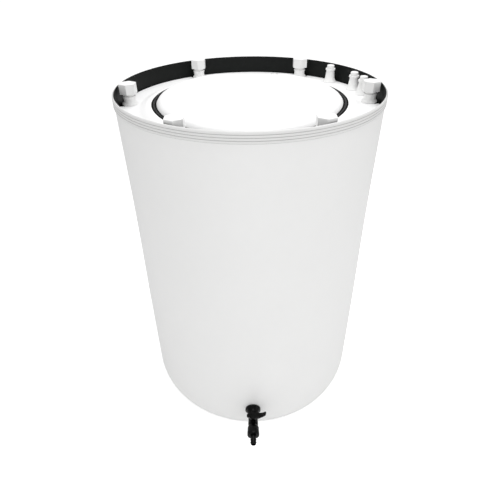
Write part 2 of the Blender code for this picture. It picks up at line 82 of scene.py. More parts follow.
def middle(node):
    """The middle of a solid piece's box."""
    low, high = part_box(node)
    return [(a + b) / 2 for a, b in zip(low, high)]


# %% [markdown]
# ## Shared helpers
# Most of the tank is round, so most pieces are drawn as half an outline and spun. On the
# bench a turner does the same. The helper starts from a plane, merges it to one point,
# extrudes that point along the outline and spins the line about an axis. Spinning can leave
# the shape inside out, so doubles are merged and the normals are made to point out.

# %% Spin an outline into a round piece
def deselect():
    bpy.ops.object.select_all(action="DESELECT")


def settle(piece):
    """Leave the piece at the origin, with its place in its mesh."""
    deselect()
    piece.select_set(True)
    bpy.context.view_layer.objects.active = piece
    bpy.ops.object.transform_apply(location=True, rotation=True, scale=True)
    piece.select_set(False)
    return piece


def spun(name, outline, steps=96, centre=(0.0, 0.0, 0.0), along=(0.0, 0.0, 1.0), closed=True, crease=30.0):
    """Spin (radius, distance along the axis) points about an axis through centre."""
    centre, along = Vector(centre), Vector(along)
    side = Vector((1.0, 0.0, 0.0))
    points = [centre + side * radius + along * far for radius, far in outline]
    if closed:
        points.append(points[0])
    deselect()
    bpy.ops.mesh.primitive_plane_add(size=0.001, location=points[0])
    piece = bpy.context.active_object
    piece.name = piece.data.name = name
    bpy.ops.object.mode_set(mode="EDIT")
    bpy.ops.mesh.select_all(action="SELECT")
    bpy.ops.mesh.merge(type="CENTER")
    for before, after in zip(points, points[1:]):
        bpy.ops.mesh.extrude_region_move(TRANSFORM_OT_translate={"value": after - before})
    bpy.ops.mesh.select_all(action="SELECT")
    bpy.ops.mesh.spin(steps=steps, angle=2.0 * math.pi, center=centre, axis=along)
    bpy.ops.mesh.select_all(action="SELECT")
    bpy.ops.mesh.remove_doubles(threshold=0.00002)
    bpy.ops.mesh.normals_make_consistent(inside=False)
    bpy.ops.object.mode_set(mode="OBJECT")
    bpy.ops.object.shade_smooth_by_angle(angle=math.radians(crease))
    return settle(piece)


def arc(centre, radius, start, stop, steps):
    """Points on an arc, for outlines; angles in degrees from the first direction."""
    turn = [math.radians(start + (stop - start) * step / steps) for step in range(steps + 1)]
    return [(centre[0] + radius * math.cos(a), centre[1] + radius * math.sin(a)) for a in turn]


def cut_away(piece, cutter):
    """Take the cutter's shape out of the piece."""
    step = piece.modifiers.new("cut", "BOOLEAN")
    step.object = cutter
    step.solver = "EXACT"
    deselect()
    piece.select_set(True)
    bpy.context.view_layer.objects.active = piece
    bpy.ops.object.modifier_apply(modifier=step.name)
    bpy.data.objects.remove(cutter)
    bpy.ops.object.shade_smooth_by_angle(angle=math.radians(30.0))
    piece.select_set(False)
    return piece


def bar(name, radius, low, high, centre, sides=48):
    """A plain upright cylinder, used as a cutter."""
    deselect()
    bpy.ops.mesh.primitive_cylinder_add(vertices=sides, radius=radius, depth=high - low,
                                        location=(centre[0], centre[1], (low + high) / 2))
    made = bpy.context.active_object
    made.name = name
    return settle(made)


def block(name, low, high):
    """A plain box from corner to corner, used as a cutter."""
    deselect()
    bpy.ops.mesh.primitive_cube_add(size=1.0, location=[(a + b) / 2 for a, b in zip(low, high)])
    made = bpy.context.active_object
    made.name = name
    bpy.ops.transform.resize(value=[b - a for a, b in zip(low, high)], center_override=made.location)
    return settle(made)


def dress(piece, body, slot, surface, *nodes):
    """Give a piece its finish, its body and the solid pieces that it stands for."""
    piece.data.materials.clear()
    piece.data.materials.append(surface)
    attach(piece, body)
    if nodes:
        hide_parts(*nodes)
    print(piece.name, "rides on", body, "with", len(piece.data.polygons), "faces")
    return piece


# %% [markdown]
# ## Shared surface effects
# Two effects turn up on several finishes, so each is a node group that is built once. Soft
# mottle is the slow change of tone that every moulded or coated surface has. Fine relief is
# the small height pattern, such as the cloth that shows through laminated sheet. A group
# gives out only values; each material keeps its own shader.

# %% Build the two node groups
def new_group(name, inputs, outputs):
    group = bpy.data.node_groups.new(name, "ShaderNodeTree")
    for label, value in inputs:
        socket = group.interface.new_socket(label, in_out="INPUT", socket_type="NodeSocketFloat")
        socket.default_value = value
    for label in outputs:
        group.interface.new_socket(label, in_out="OUTPUT", socket_type="NodeSocketFloat")
    start = group.nodes.new("NodeGroupInput")
    end = group.nodes.new("NodeGroupOutput")
    place = group.nodes.new("ShaderNodeTexCoord")
    return group, start, end, place


def add_math(group, operation, first, second):
    node = group.nodes.new("ShaderNodeMath")
    node.operation = operation
    for socket, value in zip(node.inputs, (first, second)):
        if isinstance(value, (int, float)):
            socket.default_value = value
        else:
            group.links.new(value, socket)
    return node.outputs[0]


def build_mottle():
    """Slow and fast noise mixed into one mask round zero."""
    group, start, end, place = new_group("soft_mottle", [("Slow scale", 6.0), ("Fast scale", 60.0)], ["Mask"])
    sums = []
    for label, weight in (("Slow scale", 1.0), ("Fast scale", 0.5)):
        noise = group.nodes.new("ShaderNodeTexNoise")
        noise.inputs["Detail"].default_value = 4.0
        group.links.new(place.outputs["Object"], noise.inputs["Vector"])
        group.links.new(start.outputs[label], noise.inputs["Scale"])
        centred = add_math(group, "SUBTRACT", noise.outputs["Fac"], 0.5)
        sums.append(add_math(group, "MULTIPLY", centred, weight))
    group.links.new(add_math(group, "ADD", *sums), end.inputs["Mask"])
    return group


def build_relief():
    """A crossed thread pattern plus grain, as a height from 0 to 1."""
    group, start, end, place = new_group("fine_relief", [("Threads per metre", 900.0), ("Grain scale", 700.0),
                                                         ("Thread share", 0.5)], ["Height"])
    split = group.nodes.new("ShaderNodeSeparateXYZ")
    group.links.new(place.outputs["Object"], split.inputs[0])
    turn = add_math(group, "ARCTAN2", split.outputs["Y"], split.outputs["X"])
    round_way = add_math(group, "MULTIPLY", turn, TANK_R)
    waves = []
    for way in (round_way, split.outputs["Z"]):
        phase = add_math(group, "MULTIPLY", way, start.outputs["Threads per metre"])
        waves.append(add_math(group, "SINE", add_math(group, "MULTIPLY", phase, 2.0 * math.pi), 0.0))
    crossed = add_math(group, "MULTIPLY", waves[0], waves[1])
    grain = group.nodes.new("ShaderNodeTexNoise")
    grain.inputs["Detail"].default_value = 2.0
    group.links.new(place.outputs["Object"], grain.inputs["Vector"])
    group.links.new(start.outputs["Grain scale"], grain.inputs["Scale"])
    woven = add_math(group, "MULTIPLY", crossed, start.outputs["Thread share"])
    group.links.new(add_math(group, "ADD", woven, grain.outputs["Fac"]), end.inputs["Height"])
    return group


soft_mottle = build_mottle()
fine_relief = build_relief()
print("node groups:", soft_mottle.name, fine_relief.name)

# %% [markdown]
# ## Materials
# Each finish starts from one recipe: a colour and a roughness that the mottle moves a
# little, and a bump that the relief feeds. What differs is named for what it is on the
# tank. A number that is the same all over, such as a coat, goes straight on the shader.

# %% Make a finish from the shared effects
def finish(name, color, roughness, tone=0.04, rough_swing=0.08, relief=0.0, relief_depth=0.0002,
           slow=6.0, fast=60.0, threads=900.0, grain=700.0, thread_share=0.5, **fixed):
    made = bpy.data.materials.new(name)
    made.use_nodes = True
    nodes, links = made.node_tree.nodes, made.node_tree.links
    shader = nodes["Principled BSDF"]
    mottle = nodes.new("ShaderNodeGroup")
    mottle.node_tree = soft_mottle
    mottle.inputs["Slow scale"].default_value = slow
    mottle.inputs["Fast scale"].default_value = fast
    darker = [max(0.0, value * (1.0 - tone) - 0.25 * tone * 0.02) for value in color]
    lighter = [min(1.0, value * (1.0 + tone)) for value in color]
    for socket, low, high, ramp_type in (("Base Color", darker, lighter, "COLOR"),
                                         ("Roughness", roughness - rough_swing,
                                          roughness + rough_swing, "VALUE")):
        spread = nodes.new("ShaderNodeMapRange")
        spread.inputs["From Min"].default_value = -0.4
        spread.inputs["From Max"].default_value = 0.4
        links.new(mottle.outputs["Mask"], spread.inputs["Value"])
        if ramp_type == "COLOR":
            mix = nodes.new("ShaderNodeMix")
            mix.data_type = "RGBA"
            mix.inputs["A"].default_value = (*low, 1.0)
            mix.inputs["B"].default_value = (*high, 1.0)
            links.new(spread.outputs["Result"], mix.inputs["Factor"])
            links.new(mix.outputs["Result"], shader.inputs[socket])
        else:
            spread.inputs["To Min"].default_value = max(0.02, low)
            spread.inputs["To Max"].default_value = min(1.0, high)
            links.new(spread.outputs["Result"], shader.inputs[socket])
    if relief > 0.0:
        height = nodes.new("ShaderNodeGroup")
        height.node_tree = fine_relief
        height.inputs["Threads per metre"].default_value = threads
        height.inputs["Grain scale"].default_value = grain
        height.inputs["Thread share"].default_value = thread_share
        bump = nodes.new("ShaderNodeBump")
        bump.inputs["Strength"].default_value = relief
        bump.inputs["Distance"].default_value = relief_depth
        links.new(height.outputs["Height"], bump.inputs["Height"])
        links.new(bump.outputs["Normal"], shader.inputs["Normal"])
    for socket, value in fixed.items():
        shader.inputs[socket.replace("_", " ")].default_value = value
    return made


white_sheet = finish("white laminated sheet", (0.83, 0.83, 0.825), 0.42, tone=0.015, relief=0.35,
                     relief_depth=0.00008)
black_sheet = finish("black laminated sheet", (0.0075, 0.0085, 0.008), 0.50, tone=0.25, relief=0.35,
                     relief_depth=0.00008, Specular_IOR_Level=0.12)
# The lid's finish is the wall's white sheet made lighter: painted light, for the top that faces the lamps.
lid_sheet_painted_light = finish("white sheet with painted top light", (0.93, 0.93, 0.93), 0.45, tone=0.01, relief=0.25,
                   relief_depth=0.00006)
# The band's finish is the same white sheet made darker: painted shade, since the band is drawn darker than
# the sheet on the wall.
band_sheet_painted_shade = finish("rim band sheet with painted shade", (0.74, 0.74, 0.735), 0.40, tone=0.02, relief=0.3,
                    relief_depth=0.00008)
# The seam finish is a darker grey laid in the narrow valleys between the band's ribs: painted shade.
seam_valley_shade = finish("painted shade in the rib valleys", (0.50, 0.50, 0.495), 0.30, tone=0.04, relief=0.2,
                   relief_depth=0.00006)
white_moulding = finish("white moulded plastic", (0.86, 0.86, 0.855), 0.34, tone=0.02, relief=0.15,
                        relief_depth=0.00006, thread_share=0.0, grain=900.0)
pole_tube = finish("pole tube", (0.80, 0.80, 0.79), 0.38, tone=0.02, relief=0.1, thread_share=0.0)
black_moulding = finish("black moulded plastic", (0.002, 0.002, 0.0021), 0.17, tone=0.3, rough_swing=0.05,
                        relief=0.2, relief_depth=0.00005, thread_share=0.0, grain=1100.0,
                        Specular_IOR_Level=0.13)
zip_cloth = finish("zip tape", (0.007, 0.007, 0.007), 0.85, tone=0.4, relief=0.8, relief_depth=0.0003,
                   threads=1400.0, Specular_IOR_Level=0.06)
zip_nylon = finish("zip coil", (0.022, 0.022, 0.023), 0.40, tone=0.2, relief=0.1, thread_share=0.0)
slider_enamel = finish("slider enamel", (0.03, 0.03, 0.032), 0.28, tone=0.2, relief=0.1, thread_share=0.0,
                       Metallic=0.6)
rubber = finish("black rubber", (0.022, 0.022, 0.022), 0.68, tone=0.2, relief=0.3, thread_share=0.0)
valve_white = finish("valve seat plastic", (0.78, 0.78, 0.76), 0.3, tone=0.03, relief=0.1, thread_share=0.0)
print(len(bpy.data.materials), "materials so far")

# %% [markdown]
# ## The bag
# The wall and its rounded corner are one welded bag, so they are drawn as one closed skin.
# The filled bag isn't a perfect tube: between the rim and the corner its side draws in by a
# few millimetres. The outline bends by that much before it is spun, and each face then gets
# the white or the black side of the sheet, by which way it looks.

# %% Spin the bag and give its two sides their colours
WAIST = 0.0024                                        # how far the side draws in
WAIST_Z = 0.62
WAIST_SPREAD = 0.20
GAP = 0.0003


def waist(z):
    """Radius lost at this height."""
    return WAIST * math.exp(-((z - WAIST_Z) / WAIST_SPREAD) ** 2)


def bag_outline():
    rim = RIM_Z - GAP
    side_steps = 36
    heights = [rim + (SEAM_Z - rim) * step / side_steps for step in range(side_steps + 1)]
    corner = (TANK_R - CORNER_R, SEAM_Z)
    lap_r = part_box("tank_corner")[1][0] - CORNER_R - 0.012
    outer = [(TANK_R - waist(z), z) for z in heights]
    outer += arc(corner, CORNER_R, 0.0, -90.0, 18)[1:]
    inner = arc(corner, CORNER_R - SHEET, -90.0, 0.0, 18)
    inner += [(TANK_R - SHEET - waist(z), z) for z in heights[::-1][1:]]
    return outer + [(lap_r, corner_low[2]), (lap_r, corner_low[2] + SHEET)] + inner


tank_bag = spun("tank_bag", bag_outline(), steps=240)
dress(tank_bag, "tank", "white_sheet", white_sheet, "tank_wall", "tank_corner")
tank_bag.data.materials.append(black_sheet)
for face in tank_bag.data.polygons:
    if face.normal.dot(face.center - Vector((0.0, 0.0, min(max(face.center.z, SEAM_Z), RIM_Z)))) < 0.0:
        face.material_index = 1
print("black faces:", sum(face.material_index for face in tank_bag.data.polygons))

# %% [markdown]
# ## The base panel
# The round base is a separate sheet, welded under the bag. It is seen only from below, where
# the weld shows as a shallow pressed ring near its edge.

# %% Spin the base panel
base_top = base_high[2]
base_outline = [(0.0, 0.0), (BASE_R - 0.016, 0.0), (BASE_R - 0.015, 0.0003), (BASE_R - 0.005, 0.0003),
                (BASE_R - 0.004, 0.0), (BASE_R - 0.0004, 0.0), (BASE_R, 0.0004), (BASE_R, base_top),
                (0.0, base_top)]
base = spun("base_sheet", base_outline, steps=240, closed=False)
dress(base, "tank", "white_sheet", white_sheet, "base_panel")

# %% [markdown]
# ## The rim band
# A band of the same sheet is welded round the outside of the rim in four parallel seams. The
# sheet stands proud between the seams, so the band is four soft ribs with narrow valleys.

# %% Spin the ribbed band
BAND_IN = TANK_R + GAP
BAND_FLAT = 0.0010                                    # band thickness at a seam
RIB_COUNT = 4


def band_outline():
    height = band_high[2] - band_low[2]
    rib_out = band_high[0] - BAND_IN - BAND_FLAT
    steps = 8 * RIB_COUNT
    outline = [(BAND_IN, band_low[2]), (BAND_IN, band_high[2] - 0.0006), (BAND_IN + 0.0004, band_high[2])]
    for step in range(steps + 1):
        share = step / steps
        bulge = abs(math.sin(math.pi * RIB_COUNT * share)) ** 0.6
        z = band_high[2] - 0.0006 - (height - 0.0006) * share
        outline.append((BAND_IN + BAND_FLAT + rib_out * bulge, z))
    return outline


rim_band = spun("ribbed_rim", band_outline(), steps=240)
dress(rim_band, "tank", "white_sheet", band_sheet_painted_shade, "rim_band")
# The faces in the valleys at the seams take the darker grey: painted shade.
rim_band.data.materials.append(seam_valley_shade)
SEAM_SHADE_DEPTH = 0.55                                     # share of a rib's height, at the seams, that gets painted shade
SEAM_SHADE_TOP = 0.002                                      # no painted shade this close to the rim's edge
seam_shade_in = BAND_IN + 0.5 * BAND_FLAT
seam_shade_out = BAND_IN + BAND_FLAT + SEAM_SHADE_DEPTH * (band_high[0] - BAND_IN - BAND_FLAT)
for face in rim_band.data.polygons:
    reach = math.hypot(face.center.x, face.center.y)
    if seam_shade_in < reach < seam_shade_out and face.center.z < band_high[2] - SEAM_SHADE_TOP:
        face.material_index = 1
print("seam faces:", sum(face.material_index for face in rim_band.data.polygons))

# %% [markdown]
# ## The lid sheet
# The fixed lid is a sheet with a border that lies flat round the poles and then swells up to
# the zip. It is spun with many rings, so that it can carry that swell, and the flap's mouth,
# the notches for the poles and the holes under the spouts are cut from it afterwards.

# %% Spin the lid and cut its openings
BORDER_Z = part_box("pole_collar_1")[0][2] - GAP        # top of the lid's border
POLE_SPOTS = [middle("pole_%d" % number) for number in range(1, 7)]
SPOUT_SPOTS = [middle("port_spout_%d" % number) for number in range(1, 4)]
POLE_RING = math.hypot(POLE_SPOTS[0][0], POLE_SPOTS[0][1])
NOTCH_R = 0.0162
SWELL_START = POLE_RING - 0.0182
SWELL_END = ZIP_R + 0.0100
MOUTH_R = ZIP_R + ZIP_SHOWN
WELD = 0.0026                                         # black weld round the lid's edge
ZIP_END = 15.0                                        # degrees from the back


SAG = 0.0095                                          # the lid hangs between the front poles
SAG_SPREAD = 0.22
BOOT_CLEAR = 0.021                                    # the lid stays put round a boot
BOOT_EASE = 0.030


def sag(piece):
    """Let a piece of the lid hang a little where it spans the two front poles."""
    for vert in piece.data.vertices:
        x, y, _ = vert.co
        if y < 0.0 and math.hypot(x, y) < LID_R - 0.004:
            forward = min(1.0, -y / ZIP_R)
            clear = min(math.hypot(x - spot[0], y - spot[1]) for spot in POLE_SPOTS)
            ease = min(1.0, max(0.0, (clear - BOOT_CLEAR) / BOOT_EASE))
            vert.co.z -= (SAG * ease * ease * (3.0 - 2.0 * ease) * forward ** 1.5
                          * math.exp(-(x / SAG_SPREAD) ** 4))
    return piece


def lid_height(radius):
    """Top of the fixed lid: low at the poles, smoothly up to the zip."""
    share = (SWELL_START - radius) / (SWELL_START - SWELL_END)
    share = min(1.0, max(0.0, share))
    return BORDER_Z + (LID_TOP - BORDER_Z) * share * share * (3.0 - 2.0 * share)


def lid_outline():
    radii = [LID_R - 0.0015, LID_R - WELD - 0.0001, SWELL_START + 0.02, SWELL_START]
    radii += [SWELL_START + (SWELL_END - SWELL_START) * step / 10 for step in range(1, 11)]
    radii += [MOUTH_R + 0.002, 0.16, 0.05]
    upper = [(LID_R, lid_low[2]), (LID_R, BORDER_Z - 0.0015)] + [(r, lid_height(r)) for r in radii]
    lower = [(r, lid_height(r) - SHEET) for r in radii[::-1]]
    lower += [(LID_R - SHEET, BORDER_Z - 0.0022), (LID_R - SHEET, lid_low[2])]
    return upper + [(0.0, LID_TOP), (0.0, LID_TOP - SHEET)] + lower


def mouth_cutters(low, high):
    """The flap's opening, straight along its fold, and the zip's two tails behind it."""
    opening = bar("opening", MOUTH_R, low, high, (0.0, 0.0), sides=240)
    cut_away(opening, block("behind", (-1.0, FOLD_Y + GAP, low - 0.1), (1.0, 1.0, high + 0.1)))
    tails = spun("tails", [(FLAP_R, low), (MOUTH_R, low), (MOUTH_R, high), (FLAP_R, high)], steps=240)
    tail_y = ZIP_R * math.cos(math.radians(ZIP_END))
    cut_away(tails, block("before", (-1.0, -1.0, low - 0.1), (1.0, FOLD_Y - 0.01, high + 0.1)))
    cut_away(tails, block("beyond", (-1.0, tail_y, low - 0.1), (1.0, 1.0, high + 0.1)))
    return [opening, tails]


lid = spun("lid_sheet_painted_light", lid_outline(), steps=240)
cut_low, cut_high = lid_low[2] - 0.01, LID_TOP + 0.02
for cutter in mouth_cutters(cut_low, cut_high):
    cut_away(lid, cutter)
for spot in POLE_SPOTS:
    cut_away(lid, bar("notch", NOTCH_R, cut_low, cut_high, spot))
    slot_cut = block("slot", (POLE_RING, -NOTCH_R, cut_low), (1.2 * LID_R, NOTCH_R, cut_high))
    slot_cut.data.transform(Matrix.Rotation(math.atan2(spot[1], spot[0]), 4, "Z"))
    cut_away(lid, slot_cut)
for spot in SPOUT_SPOTS:
    cut_away(lid, bar("hole", 0.0085, cut_low, cut_high, spot))
dress(sag(lid), "tank", "white_sheet", lid_sheet_painted_light, "lid_panel")
lid.data.materials.append(black_sheet)
for face in lid.data.polygons:
    if math.hypot(face.center.x, face.center.y) > LID_R - WELD or face.normal.z < -0.5:
        face.material_index = 1

# %% [markdown]
# ## The flap
# The flap is a round piece of the same sheet, cut straight along its fold. Air under the lid
# crowns it: it climbs steeply from its edge and is nearly flat in the middle. A grid of
# rings is needed for that, so a disc is spun with many rings, cut along the fold, and then
# every point is raised by how far it lies from the nearest edge.

# %% Spin the flap, cut it along its fold and crown it
CROWN = 0.0152                                        # height of the middle
CROWN_REACH = 0.0095                                  # how fast the edge climbs
CROWN_TILT = 0.05                                     # fuller to the left


def crown(x, y):
    """Height gained at a place, by its distance from the flap's edge or fold."""
    edge = max(0.0, min(FLAP_R - math.hypot(x, y), FOLD_Y - y))
    return CROWN * (1.0 - CROWN_TILT * x / FLAP_R) * (1.0 - math.exp(-edge / CROWN_REACH))


flap_bottom = LID_TOP - SHEET
EDGE_STEP = 0.0012                                    # ring spacing close to the flap's edge
FIELD_STEP = 0.05                                     # ring spacing inside it, as a share of the radius
ring_radii = [FLAP_R - EDGE_STEP * step for step in range(6)]
ring_radii += [FLAP_R * (1.0 - FIELD_STEP * step) for step in range(1, 20)]
flap_outline = [(r, flap_bottom) for r in [0.0] + ring_radii[::-1]]
flap_outline += [(r, LID_TOP) for r in ring_radii] + [(0.0, LID_TOP)]
flap = spun("crowned_flap", flap_outline, steps=200, closed=False)
cut_away(flap, block("behind", (-1.0, FOLD_Y, flap_bottom - 0.1), (1.0, 1.0, LID_TOP + 0.1)))
deselect()
flap.select_set(True)
bpy.context.view_layer.objects.active = flap
bpy.ops.object.mode_set(mode="EDIT")
for step in range(9):
    bpy.ops.mesh.select_all(action="SELECT")
    bpy.ops.mesh.bisect(plane_co=(0.0, FOLD_Y - 0.002 * 1.5 ** step, 0.0), plane_no=(0.0, 1.0, 0.0))
bpy.ops.object.mode_set(mode="OBJECT")
for vert in flap.data.vertices:
    vert.co.z += crown(vert.co.x, vert.co.y)
bpy.ops.object.shade_smooth_by_angle(angle=math.radians(30.0))
dress(sag(flap), "flap", "white_sheet", lid_sheet_painted_light, "lid_flap")
flap.data.materials.append(black_sheet)
for face in flap.data.polygons:
    if face.normal.z < -0.3:
        face.material_index = 1

# %% [markdown]
# ## The zip
# Between the lid and the flap a dark zip runs round in a C. It is two woven tapes with a row
# of nylon coil along each inner edge. The tape is a flat strip with a slight roll at the
# coil, and the coil is a small tooth copied hundreds of times, so each tooth has only a few
# faces. The outer half stays on the lid and the inner half rides on the flap.

# %% Sweep the tapes
def c_strip(name, outline, end, straight_back=None):
    """Spin an outline all round, then cut it off near the back."""
    made = spun(name, outline, steps=240)
    stop = ZIP_R * math.cos(math.radians(end)) if straight_back is None else straight_back
    return cut_away(made, block("back", (-1.0, stop, 0.0), (1.0, 1.0, 2.0)))


tape_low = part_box("zip_tape_outer")[0][2]
tape_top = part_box("zip_tape_outer")[1][2]
tape_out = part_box("zip_tape_outer")[1][0]
tape_in = 2.0 * ZIP_R - tape_out
zip_half = 0.0003
for name, body, node, inner, outer, back in (
        ("outer_tape", "tank", "zip_tape_outer", ZIP_R + zip_half, tape_out, None),
        ("inner_tape", "flap", "zip_tape_inner", tape_in, ZIP_R - zip_half, FOLD_Y - GAP)):
    outline = [(inner, tape_low), (outer, tape_low), (outer, tape_top),
               ((inner + outer) / 2, tape_top + 0.0001),
               (inner, tape_top)]
    dress(sag(c_strip(name, outline, ZIP_END, back)), body, "black_tape", zip_cloth, node)

# %% Copy one coil tooth round each half
TOOTH_PITCH = 0.0021


def coil_tooth():
    """One loop of coil as a bevelled block, lying across the zip at the front."""
    deselect()
    bpy.ops.mesh.primitive_cube_add(size=1.0, location=(0.0, 0.0, 0.0))
    made = bpy.context.active_object
    bpy.ops.transform.resize(value=(0.0014, 0.0016, 0.0014), center_override=(0.0, 0.0, 0.0))
    settle(made)
    soften = made.modifiers.new("soften", "BEVEL")
    soften.width = 0.0003
    soften.segments = 1
    deselect()
    made.select_set(True)
    bpy.context.view_layer.objects.active = made
    bpy.ops.object.modifier_apply(modifier=soften.name)
    made.select_set(False)
    return made


def coil_row(name, radius, end, straight_back=None):
    """Copies of the tooth round the circle, stopping near the back."""
    tooth = coil_tooth()
    stop = 180.0 - end
    if straight_back is not None:
        stop = 180.0 - math.degrees(math.acos(straight_back / radius)) - 0.4
    count = int(2.0 * math.radians(stop) * radius / TOOTH_PITCH)
    teeth = []
    for step in range(count + 1):
        angle = math.radians(-stop + 2.0 * stop * step / count)
        copy = bpy.data.objects.new("tooth", tooth.data.copy())
        bpy.context.scene.collection.objects.link(copy)
        place = Matrix.Translation((radius * math.sin(angle), -radius * math.cos(angle), coil_z))
        copy.data.transform(place @ Matrix.Rotation(angle, 4, "Z"))
        teeth.append(copy)
    bpy.data.objects.remove(tooth)
    deselect()
    for copy in teeth:
        copy.select_set(True)
    bpy.context.view_layer.objects.active = teeth[0]
    bpy.ops.object.join()
    row = bpy.context.active_object
    row.name = row.data.name = name
    bpy.ops.object.shade_smooth_by_angle(angle=math.radians(40.0))
    return settle(row)


coil_z = tape_top + GAP + 0.0007
outer_coil = coil_row("outer_coil", ZIP_R + zip_half + 0.0008, ZIP_END)
inner_coil = coil_row("inner_coil", ZIP_R - zip_half - 0.0008, ZIP_END, FOLD_Y - GAP)
dress(sag(outer_coil), "tank", "black_tape", zip_nylon, "zip_chain_outer")
dress(sag(inner_coil), "flap", "black_tape", zip_nylon, "zip_chain_inner")

# %% [markdown]
# ## Poles, boots and caps
# Each pole is a plain tube. On the lid it wears a flared boot, and on its top a hexagonal
# cap. The cap is the piece that is noticed, so it starts as a six-sided cylinder, gets a
# raised round pad on top, and all its edges are bevelled, as a moulding's are.

# %% Make the poles and their boots
def pole_outline(node):
    low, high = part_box(node)
    return low[2], high[2], (high[0] - low[0]) / 2


for number, spot in enumerate(POLE_SPOTS, start=1):
    low, high, radius = pole_outline("pole_%d" % number)
    inner = radius - 0.0018
    tube = spun("pole_tube_%d" % number, [(radius, low), (radius, high - 0.0006), (radius - 0.0006, high),
                                          (inner, high), (inner, low)], 48, (spot[0], spot[1], 0.0))
    dress(tube, "tank", "white_plastic", pole_tube, "pole_%d" % number)
    base_z, top_z, flare = pole_outline("pole_collar_%d" % number)
    fit = radius + GAP
    neck, ring_r = fit + 0.0007, fit + 0.0019
    boot_outline = [(fit, base_z), (flare - 0.0004, base_z), (flare, base_z + 0.0005),
                    (flare, base_z + 0.0019),
                    (flare - 0.0004, base_z + 0.0024), (flare - 0.0016, base_z + 0.0026),
                    (flare - 0.0018, base_z + 0.0046), (flare - 0.0024, base_z + 0.0052)]
    boot_outline += [(neck + (flare - 0.0034 - neck) * (1.0 - step / 5) ** 2.2,
                      base_z + 0.0054 + 0.0030 * step / 5)
                     for step in range(6)]
    boot_outline += [(neck, top_z - 0.0042), (ring_r - 0.0005, top_z - 0.0038), (ring_r, top_z - 0.0032),
                     (ring_r, top_z - 0.0006), (ring_r - 0.0005, top_z), (fit, top_z)]
    boot = spun("pole_boot_%d" % number, boot_outline, 64, (spot[0], spot[1], 0.0))
    dress(boot, "tank", "white_plastic", white_moulding, "pole_collar_%d" % number)
print("poles and boots done")

# %% Make one hexagonal cap and copy it
def hex_cap(name, node):
    low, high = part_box(node)
    spot = middle(node)
    reach = (high[1] - low[1]) / 2
    deselect()
    bpy.ops.mesh.primitive_cylinder_add(vertices=6, radius=reach, depth=high[2] - low[2], location=spot)
    cap = bpy.context.active_object
    cap.name = cap.data.name = name
    bpy.ops.object.mode_set(mode="EDIT")
    bpy.ops.mesh.select_all(action="DESELECT")
    bpy.ops.object.mode_set(mode="OBJECT")
    for face in cap.data.polygons:
        face.select = face.normal.z > 0.9
    bpy.ops.object.mode_set(mode="EDIT")
    bpy.ops.mesh.inset(thickness=0.0035, depth=0.0)
    bpy.ops.mesh.inset(thickness=0.0006, depth=-0.0007)
    bpy.ops.object.mode_set(mode="OBJECT")
    settle(cap)
    cut_away(cap, bar("socket", 0.0128, low[2] - 0.01, high[2] - 0.004, spot, sides=32))
    soften = cap.modifiers.new("soften", "BEVEL")
    soften.width = 0.0008
    soften.segments = 3
    soften.limit_method = "ANGLE"
    deselect()
    cap.select_set(True)
    bpy.context.view_layer.objects.active = cap
    bpy.ops.object.modifier_apply(modifier=soften.name)
    bpy.ops.object.shade_smooth_by_angle(angle=math.radians(35.0))
    return cap


for number in range(1, 7):
    cap = hex_cap("pole_cap_%d" % number, "hex_cap_%d" % number)
    dress(cap, "cap_%d" % number, "white_plastic", white_moulding, "hex_cap_%d" % number)

# %% [markdown]
# ## Spouts and stoppers
# Three stepped spouts stand on the lid at the right, each closed by a push-in stopper. Spout
# and stopper are turned pieces with small rounded edges, and the spout's foot flares out
# like the pole boots.

# %% Spin the spouts and the stoppers
for number, spot in enumerate(SPOUT_SPOTS, start=1):
    low, high, flare = pole_outline("port_spout_%d" % number)
    centre = (spot[0], spot[1], 0.0)
    bore, body = 0.0085, 0.0118
    outline = [(bore, low), (flare - 0.0003, low), (flare, low + 0.0004), (flare - 0.0002, low + 0.0014)]
    outline += [(body + (flare - 0.0008 - body) * (1.0 - step / 8) ** 1.7, low + 0.0018 + 0.0110 * step / 8)
                for step in range(9)]
    outline += [(body - 0.0016, high - 0.0066), (body - 0.0016, high - 0.0054),
                (body - 0.0002, high - 0.0050), (body + 0.0004, high - 0.0044),
                (body + 0.0004, high - 0.0008), (body - 0.0002, high), (bore, high)]
    spout = spun("lid_spout_%d" % number, outline, 64, centre)
    dress(spout, "tank", "white_plastic", white_moulding, "port_spout_%d" % number)
    low, high, head = pole_outline("port_plug_%d" % number)
    stem = bore - GAP
    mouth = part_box("port_spout_%d" % number)[1][2] + GAP
    outline = [(0.0, low), (stem - 0.0012, low), (stem, low + 0.0015), (stem, mouth), (head - 0.0003, mouth),
               (head, mouth + 0.0004), (head, high - 0.0014), (head - 0.0004, high - 0.0004),
               (head - 0.0014, high), (head - 0.0030, high),
               (head - 0.0036, high - 0.0006), (0.0, high - 0.0006)]
    plug = spun("spout_stopper_%d" % number, outline, 64, centre, closed=False)
    dress(plug, "plug_%d" % number, "white_plastic", white_moulding, "port_plug_%d" % number)

# %% [markdown]
# ## The tap
# The tap lies on one axis that points out of the wall, so most of it is spun about that
# axis: a flanged body with its cone, a short neck, a fluted coupling nut and a barbed tail.
# Distances are counted outwards from the wall.

# %% Spin the tap's round pieces
tap_spot = middle("tap_outer_washer")
TAP_AXIS = Vector((0.0, -1.0, 0.0))
TAP_START = Vector((0.0, -TANK_R, tap_spot[2]))


def outward(node):
    """How far from the wall a tap piece starts and ends, and its widest radius."""
    low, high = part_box(node)
    return -TANK_R - high[1], -TANK_R - low[1], (high[0] - low[0]) / 2


def tap_piece(name, outline, surface, node, body="tank", slot="black_plastic", steps=72):
    made = spun(name, outline, steps, TAP_START, TAP_AXIS)
    return dress(made, body, slot, surface, node)


near, far, radius = outward("tap_outer_washer")
tap_piece("outer_washer", [(0.0133, near), (radius, near), (radius, far - 0.0004), (radius - 0.0004, far),
                           (0.0133, far)], rubber, "tap_outer_washer", slot="black_rubber")
near, far, radius = outward("tap_inner_washer")
tap_piece("inner_washer", [(0.0133, near), (radius, near), (radius, far), (0.0133, far)], rubber,
          "tap_inner_washer", slot="black_rubber")

